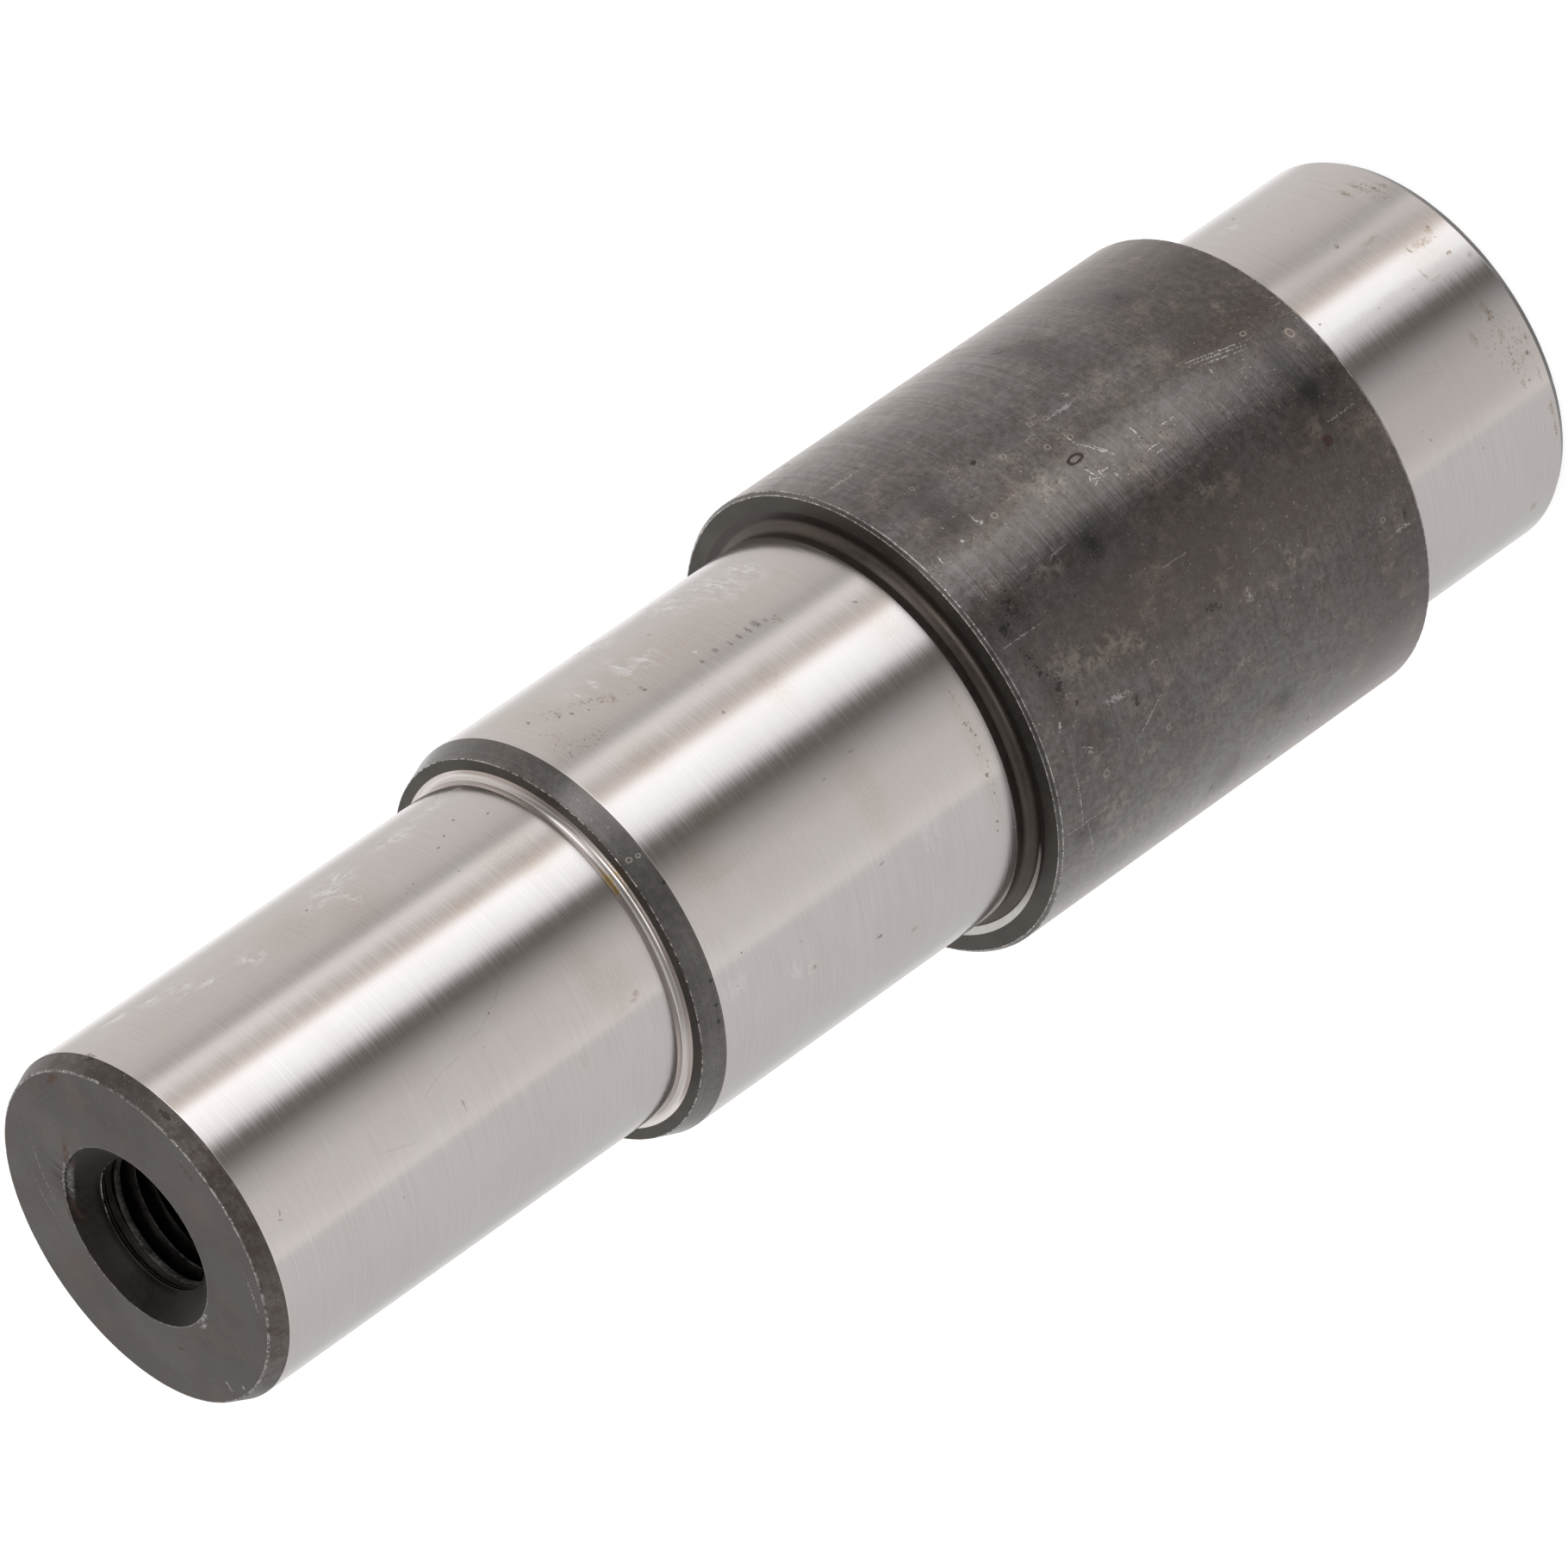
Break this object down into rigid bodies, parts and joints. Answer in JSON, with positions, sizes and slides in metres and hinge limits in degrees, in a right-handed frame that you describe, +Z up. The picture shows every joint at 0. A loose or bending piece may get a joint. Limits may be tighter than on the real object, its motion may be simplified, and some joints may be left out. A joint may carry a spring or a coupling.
{
  "type": "fan drive shaft",
  "caption": "Turned and ground steel drive shaft with a slim hub seat, a bearing seat either side of a wide dark collar, and a countersunk threaded hole in its front end.",
  "frame": {"origin": "on the axis, at the rear end face the shaft stands on", "axes": "+Z up the shaft's axis from the rear end face to the tapped front end; +X and +Y are across it"},
  "size_m": [0.0764, 0.0764, 0.259],
  "materials": {
    "shaft_steel": "ground journals, dark turned collar and end face"
  },
  "bodies": {
    "root": {"fan_drive_shaft": "shaft_steel"}
  },
  "joints": []
}
